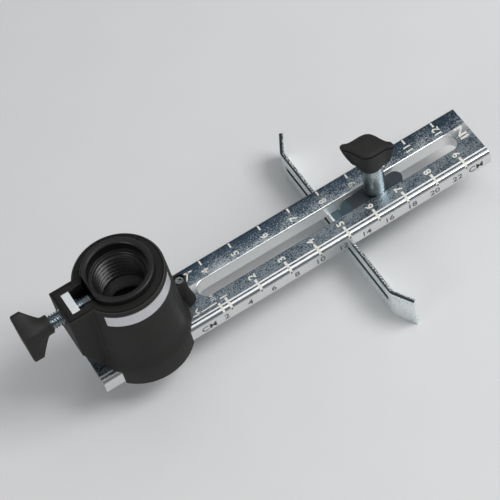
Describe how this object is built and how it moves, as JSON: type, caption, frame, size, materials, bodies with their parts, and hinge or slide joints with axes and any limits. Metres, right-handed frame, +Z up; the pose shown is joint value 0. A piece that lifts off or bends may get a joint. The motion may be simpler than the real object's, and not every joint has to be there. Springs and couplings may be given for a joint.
{
  "type": "circle cutting guide",
  "caption": "Slotted steel guide bar with a tool housing, threaded depth sleeve, clamp wing, sliding edge guide and a clamp post with knob.",
  "frame": {"origin": "on the housing's axis, in the plane of its foot", "axes": "+X along the guide bar away from the housing, +Z up along the housing's axis, +Y toward the bar's far edge"},
  "size_m": [0.1837, 0.0938, 0.0609],
  "materials": {
    "black_plastic": "satin",
    "plated_steel": "satin",
    "bright_steel": "polished",
    "plate_metal": "satin"
  },
  "bodies": {
    "base": {"housing": "black_plastic", "name_plate": "plate_metal", "guide_bar": "plated_steel", "bar_screw_front": "bright_steel", "bar_screw_rear": "bright_steel", "clamp_nut": "bright_steel"},
    "sleeve": {"depth_sleeve": "black_plastic"},
    "clamp_stud": {"clamp_screw": "bright_steel"},
    "wing": {"clamp_wing": "black_plastic"},
    "carriage": {"edge_guide": "plated_steel", "carriage_nut": "plated_steel"},
    "post": {"pivot_post": "bright_steel"},
    "knob": {"post_knob": "black_plastic"}
  },
  "joints": [
    {"name": "sleeve_depth", "type": "slide", "parent": "base", "child": "sleeve", "axis": [0, 0, 1], "range_m": [-0.005, 0.012]},
    {"name": "clamp_feed", "type": "slide", "parent": "base", "child": "clamp_stud", "axis": [-1, 0, 0], "range_m": [0, 0.003]},
    {"name": "clamp_turn", "type": "hinge", "parent": "clamp_stud", "child": "wing", "pos_m": [-0.03, 0, 0.0389], "axis": [-1, 0, 0], "range_deg": [0, 1080]},
    {"name": "guide_travel", "type": "slide", "parent": "base", "child": "carriage", "axis": [1, 0, 0], "range_m": [-0.058, 0.024]},
    {"name": "post_lift", "type": "slide", "parent": "carriage", "child": "post", "axis": [0, 0, 1], "range_m": [0, 0.002]},
    {"name": "knob_turn", "type": "hinge", "parent": "post", "child": "knob", "pos_m": [0.10135, 0, 0.02], "axis": [0, 0, 1], "range_deg": [0, 900]}
  ],
  "couplings": [
    {"joint": "clamp_turn", "follows": "clamp_feed", "rad_per_m": 6283.2},
    {"joint": "knob_turn", "follows": "post_lift", "rad_per_m": 7854}
  ]
}
